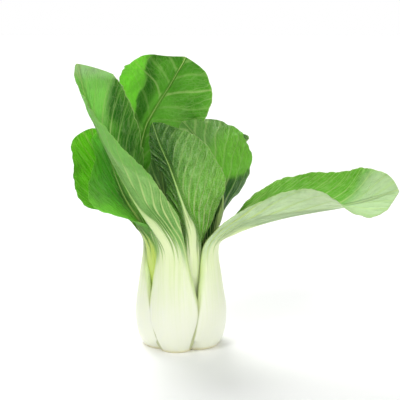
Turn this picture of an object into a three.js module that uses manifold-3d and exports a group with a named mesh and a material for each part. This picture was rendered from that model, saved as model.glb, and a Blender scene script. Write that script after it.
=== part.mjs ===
// One head of bok choy, standing on its flat cut base. Millimetres, +Z up.
// The bulb's axis is the Z axis, the cut base lies on Z = 0 and the long right leaf points to +X.
import * as THREE from "three";
import Module from "manifold-3d";

const wasm = await Module();
wasm.setup();

const GAP = 0.3; // clearance between neighbouring pieces
const BLADE_THICKNESS = 1.0;
const MIDRIB_TIP_HALF_WIDTH = 0.9;
const MIDRIB_TIP_THICKNESS = 1.4;
const MIDRIB_NARROWING = 3.4; // the power by which the midrib narrows from the neck to its tip
const MIDRIB_THINNING = 1.8; // the power by which it thins
const MIDRIB_SHARE = 0.8; // how far up the blade the midrib stands out from it
const CREASE_SHARE = 0.5; // part of a blade's fold that is made right at the midrib
const TIP_WING_WIDTH = 0.5; // least width of a wing beside the middle strip, at the tip
const SLOT_END = 0.05; // room past the midrib's end, in stations
const WING_START_WIDTH = 1.4; // the blade begins where it is this much wider than the stalk
const SMALL_STEP = 0.02; // a step along a leaf, in stations
const MIDDLE_REACH = 1e-9; // less than this from the middle of the midrib counts as the middle
const STEM_SIDES = 32;
const SWING_POWER = 5; // a stalk swings mostly near its neck
const NECK_OUT_POWER = 3;
const FLOOR_BLOCK = 80; // side of the block that trims the stalks level with the base

// Columns across a stalk or midrib. A ring's `wing` has those from its side to the margin.
const RIB_SHARES = [-1, -0.55, 0, 0.55, 1];

// The stalks stand in rings. Each ring's stalk is described at five heights: base, lower bulb,
// belly, shoulder and neck. `radius` is to the outer face, `fold` is how far each half turns inward.
const RINGS = {
  outer: {
    wing: [0, 0.3, 0.62, 1],
    stalkRows: 9,
    height: [-4, 5.5, 25, 48, 70],
    radius: [21, 29, 31.8, 28.8, 27.2],
    thickness: [9.5, 7, 6.8, 5.6, 4.6],
    halfWidth: [15, 19, 18.5, 13.8, 10.2],
    edge: [3.8, 4.6, 4.4, 3, 1.6],
    fold: [0.6, 0.7, 0.68, 0.55, 0.5],
  },
  second: {
    wing: [0, 0.3, 0.62, 1],
    stalkRows: 7,
    height: [6, 12, 27, 48, 70],
    radius: [8.5, 17.5, 23.4, 22.3, 22.3],
    thickness: [4, 5.2, 5.6, 5, 4.4],
    halfWidth: [5, 10, 12.5, 10.5, 8.4],
    edge: [1.6, 2.2, 2.4, 2, 1.4],
    fold: [0.5, 0.65, 0.7, 0.6, 0.55],
  },
  inner: {
    wing: [0, 0.5, 1],
    stalkRows: 5,
    height: [10, 16, 28, 46, 64],
    radius: [6.5, 12, 16.6, 16.2, 15.4],
    thickness: [2.6, 3.8, 4.2, 3.8, 3.2],
    halfWidth: [4, 8, 9.5, 8, 6.4],
    edge: [1.2, 1.6, 1.8, 1.5, 1.2],
    fold: [0.6, 0.8, 0.85, 0.8, 0.7],
  },
  heart: {
    wing: [0, 0.5, 1],
    stalkRows: 4,
    height: [13, 18, 30, 44, 56],
    radius: [4, 7, 10.4, 10, 8.6],
    thickness: [1.6, 2.2, 2.6, 2.2, 1.8],
    halfWidth: [2.5, 4.5, 6, 5.4, 4.4],
    edge: [0.9, 1.1, 1.2, 1.1, 1],
    fold: [0.8, 1, 1.1, 1, 0.9],
  },
};

// A station of a blade: where the ridge of the midrib runs, which way the leaf's outer face looks,
// and the width and the fold of its left and right halves, as seen from outside.
const at = (place, out, width, fold) => ({ place, out, width, fold });

// Azimuths are in degrees from -Y, positive towards +X, at the base and at the neck of the stalk.
// `stalkShare` narrows a stalk against its ring's, at the ring's five heights.
// `swing` turns a stalk further towards its neck, in degrees; `neckOut` moves its neck outwards.
// `narrowing` is this leaf's own power by which its midrib narrows.
// `wave` is the height of the waves of the margin, their number and their phase.
const LEAVES = [
  {
    name: "front_leaf",
    ring: "outer",
    azimuth: [-5, -17],
    stalkShare: [0.7, 0.7, 0.95, 1, 1],
    wave: [1.6, 2.4, 0.4],
    rows: 15,
    blade: [
      at([-15, -29, 84], [-0.45, -0.88, -0.1], [13, 15], [0.8, 0.7]),
      at([-26, -33, 99], [-0.7, -0.68, -0.2], [20, 17], [1.0, 1.0]),
      at([-36, -36.5, 117], [-0.85, -0.35, -0.35], [26, 18], [1.1, 1.1]),
      at([-46, -38, 137], [-0.86, 0.1, -0.45], [28, 18.5], [1.0, 1.1]),
      at([-54.5, -36, 156], [-0.8, 0.42, -0.45], [28, 17], [0.8, 1.0]),
      at([-60, -33.5, 170], [-0.72, 0.6, -0.4], [27.5, 12], [0.5, 0.9]),
      at([-62.5, -31.5, 180], [-0.64, 0.7, -0.35], [26.5, 6], [0.2, 0.8]),
      at([-64.5, -28, 188], [-0.5, 0.65, -0.6], [24.5, 3], [0.1, 0.6]),
      at([-66, -23.5, 192.5], [-0.4, 0.55, -0.75], [18, 2], [0.1, 0.5]),
    ],
  },
  {
    name: "right_leaf",
    ring: "outer",
    azimuth: [55, 66],
    wave: [1.8, 2.2, 1.2],
    rows: 17,
    blade: [
      at([36.5, -17.5, 80], [0.5, -0.4, -0.75], [10, 18.5], [0.9, 0.9]),
      at([52, -22, 87], [0.2, -0.36, -0.9], [12.5, 28.5], [1.4, 1.3]),
      at([70, -26.5, 93], [0.1, -0.26, -0.95], [16, 31], [1.5, 1.4]),
      at([88, -31, 97.5], [0.1, -0.1, -0.98], [20, 30], [1.3, 1.2]),
      at([105, -35.5, 101.5], [0.1, 0.2, -0.95], [24, 27], [0.8, 0.8]),
      at([120, -40, 106.5], [0.1, 0.5, -0.85], [22, 25], [0.3, 0.5]),
      at([132, -43, 111.5], [0.2, 0.5, -0.8], [15, 17], [0.3, 0.5]),
      at([139, -45, 114], [0.25, 0.45, -0.8], [4, 5], [0.5, 0.5]),
    ],
  },
  {
    name: "left_leaf",
    ring: "outer",
    azimuth: [-67, -77],
    swing: -28,
    stalkShare: [1.1, 1.05, 0.9, 0.62, 0.45],
    wave: [1.6, 2.5, 2.2],
    rows: 12,
    blade: [
      at([-33.5, 7, 84], [-0.85, 0.5, -0.1], [6, 9], [0.6, 0.5]),
      at([-43, 12, 98], [-0.5, 0.85, -0.15], [11, 25], [0.8, 0.4]),
      at([-51, 15.5, 112], [-0.5, 0.83, -0.2], [13, 29], [0.8, 0.4]),
      at([-57, 18.5, 126], [-0.5, 0.83, -0.2], [13, 26], [0.8, 0.4]),
      at([-60.5, 20.5, 138], [-0.5, 0.84, -0.2], [11, 20], [0.8, 0.4]),
      at([-62.5, 22, 146], [-0.5, 0.84, -0.2], [5, 9], [0.8, 0.4]),
    ],
  },
  {
    name: "back_left_leaf",
    ring: "outer",
    azimuth: [-148, -150],
    wave: [2, 2.5, 0.9],
    rows: 12,
    blade: [
      at([-17, 32, 87], [-0.5, 0.8, -0.3], [12, 12], [0.7, 0.7]),
      at([-22, 41, 104], [-0.45, 0.8, -0.4], [20, 20], [0.8, 0.8]),
      at([-27, 50, 121], [-0.45, 0.8, -0.4], [25, 25], [0.8, 0.8]),
      at([-31, 58, 136], [-0.45, 0.75, -0.5], [24, 24], [0.7, 0.7]),
      at([-34, 64, 148], [-0.45, 0.7, -0.55], [16, 16], [0.6, 0.6]),
      at([-35.5, 67, 154], [-0.45, 0.7, -0.55], [5, 5], [0.5, 0.5]),
    ],
  },
  {
    name: "back_right_leaf",
    ring: "outer",
    azimuth: [132, 132],
    wave: [2, 2.5, 1.7],
    rows: 12,
    blade: [
      at([24, 28, 86], [0.6, 0.75, -0.25], [12, 12], [0.7, 0.7]),
      at([30, 37, 101], [0.55, 0.75, -0.4], [19, 20], [0.8, 0.8]),
      at([33, 46, 113], [0.5, 0.7, -0.5], [23, 23], [0.8, 0.8]),
      at([36, 55, 123], [0.5, 0.65, -0.6], [21, 21], [0.7, 0.7]),
      at([38, 62, 130], [0.5, 0.6, -0.65], [14, 14], [0.6, 0.6]),
      at([39, 66, 133], [0.5, 0.6, -0.65], [4, 4], [0.5, 0.5]),
    ],
  },
  {
    name: "front_right_leaf",
    ring: "second",
    azimuth: [27, 22],
    wave: [1.2, 2.5, 2.9],
    rows: 15,
    blade: [
      at([7.5, -24, 84], [0.1, -0.99, 0], [8, 17], [0.6, 0.5]),
      at([3, -26.5, 98], [-0.05, -1, 0], [10, 28], [0.8, 0.4]),
      at([-2, -27, 113], [-0.2, -0.97, 0.05], [11, 31], [0.9, 0.35]),
      at([-7.5, -25, 128], [-0.3, -0.93, 0.2], [12, 28], [0.9, 0.35]),
      at([-13.5, -20.5, 141], [-0.35, -0.85, 0.4], [11, 21], [0.9, 0.4]),
      at([-17, -14.5, 150], [-0.35, -0.8, 0.5], [7.5, 11], [0.8, 0.5]),
      at([-18.5, -10.5, 154], [-0.35, -0.8, 0.5], [3, 4], [0.8, 0.5]),
    ],
  },
  {
    name: "front_left_leaf",
    ring: "second",
    azimuth: [-45, -64],
    neckOut: 3,
    wave: [1.6, 2.5, 0.2],
    rows: 13,
    blade: [
      at([-29.5, -7, 83], [-0.85, 0.25, -0.2], [9, 23], [0.7, 0.3]),
      at([-38, -0.5, 98], [-0.62, 0.74, -0.2], [13, 31], [0.9, 0.3]),
      at([-45, 5.5, 113], [-0.6, 0.77, -0.2], [15, 25], [1.0, 0.4]),
      at([-49.5, 10, 128], [-0.55, 0.8, -0.2], [14, 16], [1.0, 0.5]),
      at([-51.5, 13, 140], [-0.5, 0.84, -0.2], [10, 12], [0.9, 0.5]),
      at([-52.5, 14.5, 147], [-0.5, 0.84, -0.2], [4, 5], [0.8, 0.5]),
    ],
  },
  {
    name: "right_inner_leaf",
    ring: "second",
    azimuth: [96, 88],
    wave: [1.5, 2.5, 1.1],
    rows: 15,
    blade: [
      at([26.5, -3, 86], [0.7, -0.65, -0.3], [9, 11], [0.6, 0.6]),
      at([28.5, -7, 101], [0.55, -0.75, -0.45], [12, 21], [0.6, 0.5]),
      at([26.5, -9, 116], [0.45, -0.85, -0.15], [15, 34], [0.6, 0.45]),
      at([20, -7.5, 130], [0.35, -0.75, 0.45], [16, 41], [0.6, 0.4]),
      at([12, -3, 141.5], [0.3, -0.65, 0.65], [15, 42], [0.6, 0.35]),
      at([5.5, 2, 149], [0.25, -0.6, 0.75], [11, 34], [0.5, 0.3]),
      at([1, 5.5, 153], [0.25, -0.6, 0.75], [4, 18], [0.5, 0.3]),
    ],
  },
  {
    name: "left_inner_leaf",
    ring: "second",
    azimuth: [-117, -115],
    narrowing: 5,
    wave: [2.2, 2.6, 0.7],
    rows: 17,
    blade: [
      at([-25, 14, 88], [-0.8, 0.6, -0.1], [8.5, 8.5], [0.6, 0.6]),
      at([-28.5, 18, 108], [-0.6, 0.8, -0.1], [9, 8.5], [0.6, 0.6]),
      at([-29.5, 21, 128], [-0.4, 0.9, -0.1], [14, 9], [0.6, 0.8]),
      at([-25, 23, 147], [-0.2, 0.95, 0], [29, 21], [0.5, 0.7]),
      at([-17.5, 23, 161], [-0.1, 0.97, 0.1], [35, 38], [0.4, 0.65]),
      at([-8, 21.5, 176], [-0.1, 0.95, 0.2], [32, 42.5], [0.35, 0.6]),
      at([-2, 19, 186.5], [-0.1, 0.93, 0.3], [26, 33], [0.3, 0.5]),
      at([1.5, 17.5, 192.3], [-0.1, 0.92, 0.35], [18, 24.5], [0.3, 0.45]),
      at([3, 16.6, 195.6], [-0.1, 0.9, 0.4], [5, 7], [0.3, 0.4]),
    ],
  },
  {
    name: "back_inner_leaf",
    ring: "second",
    azimuth: [171, 175],
    wave: [1.8, 2.5, 1.9],
    rows: 12,
    blade: [
      at([2, 28, 87], [0, 1, -0.15], [10, 10], [0.6, 0.6]),
      at([1.5, 33, 104], [0, 1, -0.2], [16, 16], [0.7, 0.7]),
      at([0.5, 37, 121], [0, 1, -0.2], [21, 21], [0.7, 0.7]),
      at([-1, 40, 138], [0, 1, -0.1], [21, 21], [0.7, 0.7]),
      at([-2, 41.5, 150], [0, 1, 0], [15, 15], [0.6, 0.6]),
      at([-2.5, 42, 157], [0, 1, 0], [4, 4], [0.5, 0.5]),
    ],
  },
  {
    name: "inner_front_leaf",
    ring: "inner",
    azimuth: [-8, -16],
    wave: [0.8, 2, 0.5],
    rows: 8,
    blade: [
      at([-7, -14.5, 80], [-0.1, -1, 0], [8.5, 8.5], [0.7, 0.7]),
      at([-9.5, -12, 97], [-0.1, -1, 0], [13, 13], [0.8, 0.8]),
      at([-12, -9, 114], [-0.1, -1, 0.1], [13.5, 13.5], [0.8, 0.8]),
      at([-13.5, -5.5, 128], [-0.1, -0.95, 0.2], [9.5, 9.5], [0.8, 0.8]),
      at([-14, -3.5, 136], [-0.1, -0.95, 0.2], [3, 3], [0.7, 0.7]),
    ],
  },
  {
    name: "inner_right_leaf",
    ring: "inner",
    azimuth: [112, 108],
    wave: [0.8, 2, 1.5],
    rows: 8,
    blade: [
      at([15, 5, 80], [0.95, 0.3, 0], [8, 8], [0.7, 0.7]),
      at([14.5, 5.5, 95], [0.95, 0.3, 0.1], [11, 11], [0.8, 0.8]),
      at([12.5, 6, 109], [0.9, 0.3, 0.2], [11, 11], [0.8, 0.8]),
      at([9.5, 6.5, 121], [0.85, 0.3, 0.35], [7.5, 7.5], [0.8, 0.8]),
      at([7.5, 7, 127], [0.85, 0.3, 0.35], [2.5, 2.5], [0.7, 0.7]),
    ],
  },
  {
    name: "inner_left_leaf",
    ring: "inner",
    azimuth: [-128, -132],
    wave: [0.8, 2, 2.5],
    rows: 8,
    blade: [
      at([-12, 11.5, 80], [-0.75, 0.65, 0], [8, 8], [0.7, 0.7]),
      at([-12, 13, 95], [-0.7, 0.7, 0.1], [11, 11], [0.8, 0.8]),
      at([-10.5, 14, 110], [-0.6, 0.75, 0.2], [11, 11], [0.8, 0.8]),
      at([-8, 14, 122], [-0.6, 0.75, 0.3], [7.5, 7.5], [0.8, 0.8]),
      at([-6.5, 13.5, 128], [-0.6, 0.75, 0.3], [2.5, 2.5], [0.7, 0.7]),
    ],
  },
];

const HEART_AZIMUTHS = [60, 180, -60]; // three small leaves, fused round the growing point
const HEART_BLADE = {
  height: [70, 82, 93, 99],
  radius: [8, 6.5, 4.5, 2.5],
  width: [6.5, 8, 6, 2],
};
const HEART_FOLD = 1.0;
const HEART_WAVE = [0.4, 1, 0];
const HEART_ROWS = 5;
const BUD = { radius: 6.2, halfHeight: 22, middle: 42, sides: 8, rings: 6 };

// The cut stem: radius and height of its outline, from the middle of the cut face to its top.
const STEM_OUTLINE = [
  [0, 0],
  [14.5, 0],
  [15.2, 1.5],
  [14.2, 5],
  [10.4, 9.5],
  [5.6, 13.5],
  [2.6, 17],
  [0, 18.5],
];

const STALK_ROUGHNESS = 0.35;
const BLADE_ROUGHNESS = 0.45;
const STEM_ROUGHNESS = 0.7;
const COLOURS = {
  stem: 0xe9e6c4,
  stalk: 0xeaf2d2,
  innerStalk: 0xdcebb0,
  blade: 0x4f9f35,
  heart: 0xb9d96a,
};

const EVEN_SHARES = [1, 1, 1, 1, 1];

const radians = THREE.MathUtils.degToRad;

// Catmull-Rom through evenly numbered values; `v` counts the stations.
function between(values, v) {
  const last = values.length - 1;
  const i = Math.min(Math.max(Math.floor(v), 0), last - 1);
  const f = v - i;
  const before = values[Math.max(i - 1, 0)];
  const after = values[Math.min(i + 2, last)];
  const slopeIn = (values[i + 1] - before) / 2;
  const slopeOut = (after - values[i]) / 2;
  const rise = values[i + 1] - values[i];
  return (
    values[i] +
    f * (slopeIn + f * (3 * rise - 2 * slopeIn - slopeOut + f * (slopeIn + slopeOut - 2 * rise)))
  );
}

// What varies along a leaf: place and outward direction, widths and folds of the two halves, the
// midrib's half width, the thickness in the middle and at its edge, and the share of the crease.
const STATION_VALUES = [
  "x", "y", "z",
  "outX", "outY", "outZ",
  "left", "right", "foldLeft", "foldRight",
  "rib", "thickness", "edge", "crease",
];

// One list per quantity, with a value at each station.
function stationLists(leaf) {
  const ring = RINGS[leaf.ring];
  const steps = ring.height.length;
  const lists = Object.fromEntries(STATION_VALUES.map((key) => [key, []]));
  const add = (values) => {
    for (const [key, value] of Object.entries(values)) lists[key].push(value);
  };
  for (let k = 0; k < steps; k++) {
    const toNeck = k / (steps - 1);
    const turn = (leaf.swing ?? 0) * toNeck ** SWING_POWER;
    const straight = THREE.MathUtils.lerp(leaf.azimuth[0], leaf.azimuth[1], toNeck);
    const azimuth = radians(straight + turn);
    const radius = ring.radius[k] + (leaf.neckOut ?? 0) * toNeck ** NECK_OUT_POWER;
    const half = ring.halfWidth[k] * (leaf.stalkShare ?? EVEN_SHARES)[k];
    add({
      x: radius * Math.sin(azimuth),
      y: -radius * Math.cos(azimuth),
      z: ring.height[k],
      outX: Math.sin(azimuth),
      outY: -Math.cos(azimuth),
      outZ: 0,
      left: half,
      right: half,
      foldLeft: ring.fold[k],
      foldRight: ring.fold[k],
      rib: half,
      thickness: ring.thickness[k],
      edge: ring.edge[k],
      crease: 0,
    });
  }
  const neckHalf = lists.rib[steps - 1];
  const neckThickness = ring.thickness[steps - 1];
  leaf.blade.forEach((station, k) => {
    const toTip = 1 - (k + 1) / leaf.blade.length;
    const widthLeft = toTip ** (leaf.narrowing ?? MIDRIB_NARROWING);
    const thicknessLeft = toTip ** MIDRIB_THINNING;
    add({
      x: station.place[0],
      y: station.place[1],
      z: station.place[2],
      outX: station.out[0],
      outY: station.out[1],
      outZ: station.out[2],
      left: station.width[0],
      right: station.width[1],
      foldLeft: station.fold[0],
      foldRight: station.fold[1],
      rib: THREE.MathUtils.lerp(MIDRIB_TIP_HALF_WIDTH, neckHalf, widthLeft),
      thickness: THREE.MathUtils.lerp(MIDRIB_TIP_THICKNESS, neckThickness, thicknessLeft),
      edge: BLADE_THICKNESS,
      crease: CREASE_SHARE,
    });
  });
  return lists;
}

// The leaf's section at v: the middle of its inner face, its three directions and its sizes.
function sectionAt(lists, v) {
  const point = (w) =>
    new THREE.Vector3(between(lists.x, w), between(lists.y, w), between(lists.z, w));
  const along = point(v + SMALL_STEP).sub(point(v - SMALL_STEP)).normalize();
  const out = new THREE.Vector3(
    between(lists.outX, v),
    between(lists.outY, v),
    between(lists.outZ, v),
  );
  out.addScaledVector(along, -out.dot(along)).normalize();
  const side = new THREE.Vector3().crossVectors(along, out);
  const value = (key) => between(lists[key], v);
  const thickness = value("thickness");
  return {
    along,
    out,
    side,
    thickness,
    middle: point(v).addScaledVector(out, -thickness),
    rib: value("rib"),
    edge: value("edge"),
    crease: THREE.MathUtils.clamp(value("crease"), 0, 1),
    left: value("left"),
    right: value("right"),
    foldLeft: value("foldLeft"),
    foldRight: value("foldRight"),
  };
}

// A point of the leaf: `reach` along the section from the midrib, negative to the left, and
// `lift` out from the inner face. Each half turns steadily inward from its crease to its margin.
function leafPoint(section, reach, lift) {
  const isRight = reach > 0;
  const half = isRight ? section.right : section.left;
  const fold = isRight ? section.foldRight : section.foldLeft;
  const sign = isRight ? 1 : -1;
  const distance = Math.abs(reach);
  const start = fold * section.crease;
  const rate = (fold - start) / half;
  const angle = start + rate * distance;
  const across = (Math.sin(angle) - Math.sin(start)) / rate;
  const inward = (Math.cos(start) - Math.cos(angle)) / rate;
  const facing = distance < MIDDLE_REACH ? 0 : angle;
  return section.middle
    .clone()
    .addScaledVector(section.side, sign * (across + lift * Math.sin(facing)))
    .addScaledVector(section.out, lift * Math.cos(facing) - inward);
}

// Height of the margin's waves at v, `share` of the way from the midrib's side to the margin.
function waveAt(leaf, v, neck, share, sign) {
  const [height, count, phase] = leaf.wave;
  const t = (v - neck) / leaf.blade.length;
  if (t <= 0) return 0;
  const swing = Math.sin(2 * Math.PI * count * t + phase * (2 + sign));
  return height * Math.min(1, 3 * t, 4 * (1 - t)) * share * share * swing;
}

// A closed sheet solid on a grid. `outer` and `inner` are rows of points, and `kept(i, j)` tells
// which cells are there. Each face that borders a cell that isn't gets a wall.
function sheetSolid(outer, inner, kept) {
  const rows = outer.length;
  const columns = outer[0].length;
  const places = [];
  const index = new Map();
  const corner = (grid, layer, i, j) => {
    const key = `${layer},${i},${j}`;
    if (!index.has(key)) {
      index.set(key, places.length / 3);
      places.push(...grid[i][j].toArray());
    }
    return index.get(key);
  };
  const faces = [];
  const quad = (a, b, c, d) => faces.push(a, b, c, a, c, d);
  const isKept = (i, j) =>
    i >= 0 && j >= 0 && i < rows - 1 && j < columns - 1 && kept(i, j);
  for (let i = 0; i < rows - 1; i++) {
    for (let j = 0; j < columns - 1; j++) {
      if (!isKept(i, j)) continue;
      const [o00, o01, o11, o10] = [[0, 0], [0, 1], [1, 1], [1, 0]].map(([a, b]) =>
        corner(outer, "o", i + a, j + b),
      );
      const [n00, n01, n11, n10] = [[0, 0], [0, 1], [1, 1], [1, 0]].map(([a, b]) =>
        corner(inner, "n", i + a, j + b),
      );
      faces.push(o00, o01, o11, o00, o11, o10);
      faces.push(n00, n11, n01, n00, n10, n11);
      if (!isKept(i, j - 1)) quad(o00, o10, n10, n00);
      if (!isKept(i, j + 1)) quad(o11, o01, n01, n11);
      if (!isKept(i - 1, j)) quad(o01, o00, n00, n01);
      if (!isKept(i + 1, j)) quad(o10, o11, n11, n10);
    }
  }
  return new wasm.Manifold(
    new wasm.Mesh({
      numProp: 3,
      vertProperties: new Float32Array(places),
      triVerts: new Uint32Array(faces),
    }),
  );
}

const evenly = (from, to, count) =>
  Array.from({ length: count + 1 }, (_, k) => from + ((to - from) * k) / count);

// Thickness of the stalk and midrib at `reach`: full in the middle, thin at its edges.
function ribLift(section, reach) {
  const share = Math.min(1, Math.abs(reach) / section.rib);
  return section.edge + (section.thickness - section.edge) * (1 - share * share);
}

// Stations of the stalk's rows up to where the wings begin, and of the rows that it shares with
// the blade up to the end of the midrib.
function leafRows(leaf, lists, neck, ribEnd) {
  const last = lists.x.length - 1;
  const start = wingStart(lists, neck);
  const shared = Math.round((leaf.rows * (ribEnd - start)) / (last - start));
  return {
    stalk: evenly(0, start, RINGS[leaf.ring].stalkRows).slice(0, -1),
    shared: evenly(start, ribEnd, shared),
    tip: evenly(ribEnd + SLOT_END, last, leaf.rows - shared),
  };
}

function stalkSolid(lists, rows) {
  const places = [...rows.stalk, ...rows.shared];
  const outer = [];
  const inner = [];
  for (const v of places) {
    const section = sectionAt(lists, v);
    const reaches = RIB_SHARES.map((share) => share * section.rib);
    outer.push(reaches.map((reach) => leafPoint(section, reach, ribLift(section, reach))));
    inner.push(reaches.map((reach) => leafPoint(section, reach, 0)));
  }
  return sheetSolid(outer, inner, () => true);
}

// Where the blade's wings first stand clear of the stalk's sides.
function wingStart(lists, neck) {
  let v = neck;
  const room = () =>
    Math.min(between(lists.left, v), between(lists.right, v)) - between(lists.rib, v);
  while (room() < WING_START_WIDTH + GAP) v += SMALL_STEP;
  return v;
}

function bladeSolid(leaf, lists, neck, rows) {
  const places = [...rows.shared, ...rows.tip];
  const { wing } = RINGS[leaf.ring];
  const outer = [];
  const inner = [];
  for (const v of places) {
    const section = sectionAt(lists, v);
    const narrower = Math.min(section.left, section.right);
    const slot = Math.min(section.rib + GAP, narrower - TIP_WING_WIDTH);
    const point = (share, sign, lift) => {
      const width = sign < 0 ? section.left : section.right;
      const reach = sign * (slot + share * (width - slot));
      return leafPoint(section, reach, lift + waveAt(leaf, v, neck, share, sign));
    };
    const row = (lift) => [
      ...[...wing].reverse().map((share) => point(share, -1, lift)),
      ...wing.map((share) => point(share, 1, lift)),
    ];
    outer.push(row(section.edge));
    inner.push(row(0));
  }
  const middle = wing.length - 1;
  return sheetSolid(outer, inner, (i, j) => j !== middle || i >= rows.shared.length);
}

// The whole leaf, grown by the gap on every side: what is cut from the pieces next to it.
function grownLeaf(leaf, lists, neck, rows) {
  const places = [...rows.stalk, ...rows.shared, ...rows.tip];
  const last = places[places.length - 1];
  const wing = RINGS[leaf.ring].wing.slice(1);
  const outer = [];
  const inner = [];
  for (const v of places) {
    const section = sectionAt(lists, v);
    if (v === last) section.middle.addScaledVector(section.along, GAP);
    const point = (share, sign, lift) => {
      const width = Math.max(sign < 0 ? section.left : section.right, section.rib) + GAP;
      const reach = sign * (section.rib + share * (width - section.rib));
      return leafPoint(section, reach, lift + waveAt(leaf, v, neck, share, sign));
    };
    const reaches = RIB_SHARES.map((share) => share * section.rib);
    const row = (liftAt) => [
      ...[...wing].reverse().map((share) => point(share, -1, liftAt(section.rib))),
      ...reaches.map((reach) => leafPoint(section, reach, liftAt(reach))),
      ...wing.map((share) => point(share, 1, liftAt(section.rib))),
    ];
    outer.push(row((reach) => ribLift(section, reach) + GAP));
    inner.push(row(() => -GAP));
  }
  return sheetSolid(outer, inner, () => true);
}

// A three.js geometry as a manifold-3d solid.
function solidFrom(geometry) {
  const source = geometry.index ? geometry.toNonIndexed() : geometry;
  const places = source.getAttribute("position").array;
  const mesh = new wasm.Mesh({
    numProp: 3,
    vertProperties: new Float32Array(places),
    triVerts: Uint32Array.from({ length: places.length / 3 }, (_, k) => k),
  });
  mesh.merge();
  return new wasm.Manifold(mesh);
}

function stemSolid(grow) {
  const outline = STEM_OUTLINE.map(([r, z]) => new THREE.Vector2(r > 0 ? r + grow : 0, z));
  outline[outline.length - 1].y += grow;
  const turned = new THREE.LatheGeometry(outline, STEM_SIDES);
  turned.rotateX(Math.PI / 2);
  return solidFrom(turned);
}

function floorBlock() {
  const block = new THREE.BoxGeometry(FLOOR_BLOCK, FLOOR_BLOCK, FLOOR_BLOCK);
  block.translate(0, 0, -FLOOR_BLOCK / 2);
  return solidFrom(block);
}

function largestBody(solid) {
  const bodies = solid.decompose();
  return bodies.reduce((best, body) => (body.volume() > best.volume() ? body : best));
}

function heartLeaf(azimuthDegrees) {
  const azimuth = radians(azimuthDegrees);
  const out = [Math.sin(azimuth), -Math.cos(azimuth), 0];
  const blade = HEART_BLADE.height.map((z, k) => {
    const radius = HEART_BLADE.radius[k];
    const width = HEART_BLADE.width[k];
    return at([radius * out[0], radius * out[1], z], out, [width, width], [HEART_FOLD, HEART_FOLD]);
  });
  return {
    ring: "heart",
    azimuth: [azimuthDegrees, azimuthDegrees],
    wave: HEART_WAVE,
    rows: HEART_ROWS,
    blade,
  };
}

function heartSolid() {
  const bud = new THREE.SphereGeometry(1, BUD.sides, BUD.rings);
  bud.scale(BUD.radius, BUD.radius, BUD.halfHeight);
  bud.translate(0, 0, BUD.middle);
  let heart = solidFrom(bud);
  for (const azimuth of HEART_AZIMUTHS) {
    const leaf = heartLeaf(azimuth);
    const lists = stationLists(leaf);
    const neck = RINGS.heart.height.length - 1;
    const rows = leafRows(leaf, lists, neck, neck + MIDRIB_SHARE * leaf.blade.length);
    heart = heart.add(grownLeaf(leaf, lists, neck, rows));
  }
  return heart;
}

const group = new THREE.Group();

function addMesh(name, solid, colour, roughness) {
  const mesh = solid.getMesh();
  const geometry = new THREE.BufferGeometry();
  geometry.setAttribute("position", new THREE.BufferAttribute(mesh.vertProperties, 3));
  geometry.setIndex(new THREE.BufferAttribute(mesh.triVerts, 1));
  geometry.computeVertexNormals();
  const material = new THREE.MeshStandardMaterial({ color: colour, roughness, metalness: 0 });
  const piece = new THREE.Mesh(geometry, material);
  piece.name = name;
  group.add(piece);
}

const floor = floorBlock();
const cutters = [stemSolid(GAP)];

// Takes what stands in the way from a piece and keeps its main body.
function cleared(solid) {
  let rest = solid.subtract(floor);
  for (const cutter of cutters) rest = rest.subtract(cutter);
  return largestBody(rest);
}

addMesh("stem_base", stemSolid(0), COLOURS.stem, STEM_ROUGHNESS);
for (const leaf of LEAVES) {
  const lists = stationLists(leaf);
  const neck = RINGS[leaf.ring].height.length - 1;
  const rows = leafRows(leaf, lists, neck, neck + MIDRIB_SHARE * leaf.blade.length);
  const stalkColour = leaf.ring === "outer" ? COLOURS.stalk : COLOURS.innerStalk;
  const stalk = cleared(stalkSolid(lists, rows));
  addMesh(`${leaf.name}_stalk`, stalk, stalkColour, STALK_ROUGHNESS);
  const blade = cleared(bladeSolid(leaf, lists, neck, rows));
  addMesh(`${leaf.name}_blade`, blade, COLOURS.blade, BLADE_ROUGHNESS);
  cutters.push(grownLeaf(leaf, lists, neck, rows));
}
addMesh("heart", cleared(heartSolid()), COLOURS.heart, BLADE_ROUGHNESS);

export default group;
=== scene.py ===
"""A head of bok choy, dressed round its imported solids.

The head stands on its cut stem. Five broad outer leaves, five leaves of the second ring and three
inner leaves stand round the small leaves of the heart. Each leaf is one sheet of growth: a thick
pale stalk that narrows into the midrib of its green blade.
"""

import math
from types import SimpleNamespace

import bmesh
import bpy
import numpy as np
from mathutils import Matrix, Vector


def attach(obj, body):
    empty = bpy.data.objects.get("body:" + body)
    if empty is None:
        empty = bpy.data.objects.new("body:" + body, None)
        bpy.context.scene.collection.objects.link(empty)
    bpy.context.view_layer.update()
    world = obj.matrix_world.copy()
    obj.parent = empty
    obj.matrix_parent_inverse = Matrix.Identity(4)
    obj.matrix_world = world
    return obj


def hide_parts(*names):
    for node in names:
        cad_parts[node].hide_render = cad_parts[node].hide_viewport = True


bl_info = {
    "name": "Bok choy head",
    "version": (1, 0, 0),
    "blender": (4, 5, 0),
    "location": "3D View > Sidebar > Bok choy",
    "description": "Builds the leaves, stalks and cut stem of a head of bok choy round its frame",
    "category": "Add Mesh",
}

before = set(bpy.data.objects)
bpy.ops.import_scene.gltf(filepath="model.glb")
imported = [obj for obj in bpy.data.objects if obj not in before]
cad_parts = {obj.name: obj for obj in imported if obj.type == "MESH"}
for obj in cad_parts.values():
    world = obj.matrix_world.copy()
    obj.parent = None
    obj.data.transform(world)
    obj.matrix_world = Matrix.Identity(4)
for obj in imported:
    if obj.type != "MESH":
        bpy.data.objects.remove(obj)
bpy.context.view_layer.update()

MM = 0.001
BODY = "root"

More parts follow.
